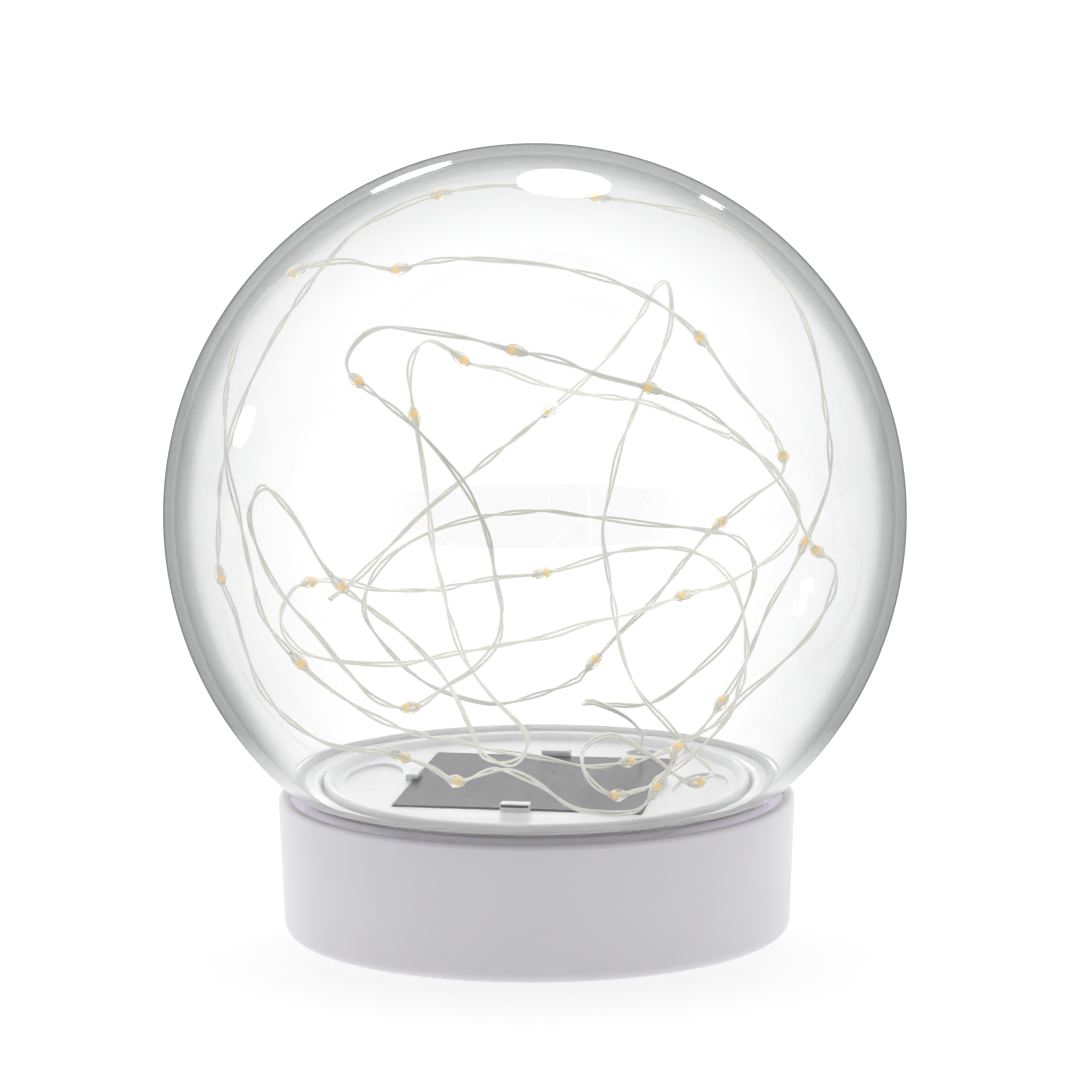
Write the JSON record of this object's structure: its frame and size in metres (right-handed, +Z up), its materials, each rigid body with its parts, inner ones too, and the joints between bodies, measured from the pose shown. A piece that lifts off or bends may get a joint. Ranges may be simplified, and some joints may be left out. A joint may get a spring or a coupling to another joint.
{
  "type": "glass globe lamp",
  "caption": "Clear glass globe on a round white twist-lock base, with a fairy-light string inside and a solar panel facing up under the mouth.",
  "frame": {"origin": "centre of the footprint, on the surface that the feet stand on", "axes": "+Z up along the globe's and base's common axis; +X and +Y along the sides of the square solar panel, with the battery across the -Y side"},
  "size_m": [0.15, 0.15, 0.1608],
  "materials": {
    "white_plastic": "white satin plastic",
    "milky_plastic": "milky translucent plastic",
    "clear_glass": "clear polished glass",
    "screw_steel": "plain steel",
    "nickel_contact": "nickel-plated steel",
    "grey_rubber": "matt grey rubber",
    "solar_cell": "dark cells under clear resin",
    "board": "circuit board laminate",
    "cell_jacket": "shrink-wrapped jacket",
    "foam": "black foam",
    "black_plastic": "black moulded plastic",
    "ferrite": "ferrite core",
    "red_insulation": "red insulation",
    "clear_silicone": "clear silicone",
    "string_wire": "silvered copper wire in clear lacquer"
  },
  "bodies": {
    "base": {"base_housing": "white_plastic", "bottom_cover": "white_plastic", "light_tray": "milky_plastic", "panel_board": "board", "solar_cells": "solar_cell", "battery_box": "white_plastic", "battery_cell": "cell_jacket", "contact_plus": "nickel_contact", "contact_minus": "nickel_contact", "contact_spring": "nickel_contact", "circuit_board": "board", "driver_chip": "black_plastic", "inductor": "ferrite", "capacitor": "black_plastic", "switch_body": "black_plastic", "panel_lead_red": "red_insulation", "panel_lead_black": "black_plastic", "battery_lead_red": "red_insulation", "battery_lead_black": "black_plastic", "string_gland": "clear_silicone", "cover_screw_1": "screw_steel", "tray_screw_1": "screw_steel", "foot_1": "grey_rubber", "cover_screw_2": "screw_steel", "tray_screw_2": "screw_steel", "foot_2": "grey_rubber", "cover_screw_3": "screw_steel", "tray_screw_3": "screw_steel", "foot_3": "grey_rubber", "board_screw_1": "screw_steel", "board_screw_2": "screw_steel", "light_string_1": "string_wire", "light_string_2": "string_wire", "light_string_3": "string_wire", "light_string_4": "string_wire", "light_string_5": "string_wire", "light_string_6": "string_wire", "light_string_7": "string_wire"},
    "globe": {"glass_globe": "clear_glass", "bond_ring": "clear_silicone", "mouth_collar": "milky_plastic"},
    "battery_door": {"battery_door": "white_plastic", "door_pad": "foam"},
    "switch_slider": {"switch_slider": "white_plastic"}
  },
  "joints": [
    {"name": "globe_twist", "type": "hinge", "parent": "base", "child": "globe", "pos_m": [0, 0, 0.0286], "axis": [0, 0, 1], "range_deg": [0, 22]},
    {"name": "battery_door_hinge", "type": "hinge", "parent": "base", "child": "battery_door", "pos_m": [0, -0.01365, 0.0018], "axis": [1, 0, 0], "range_deg": [0, 100]},
    {"name": "switch_slide", "type": "slide", "parent": "base", "child": "switch_slider", "axis": [1, 0, 0], "range_m": [0, 0.003]}
  ]
}
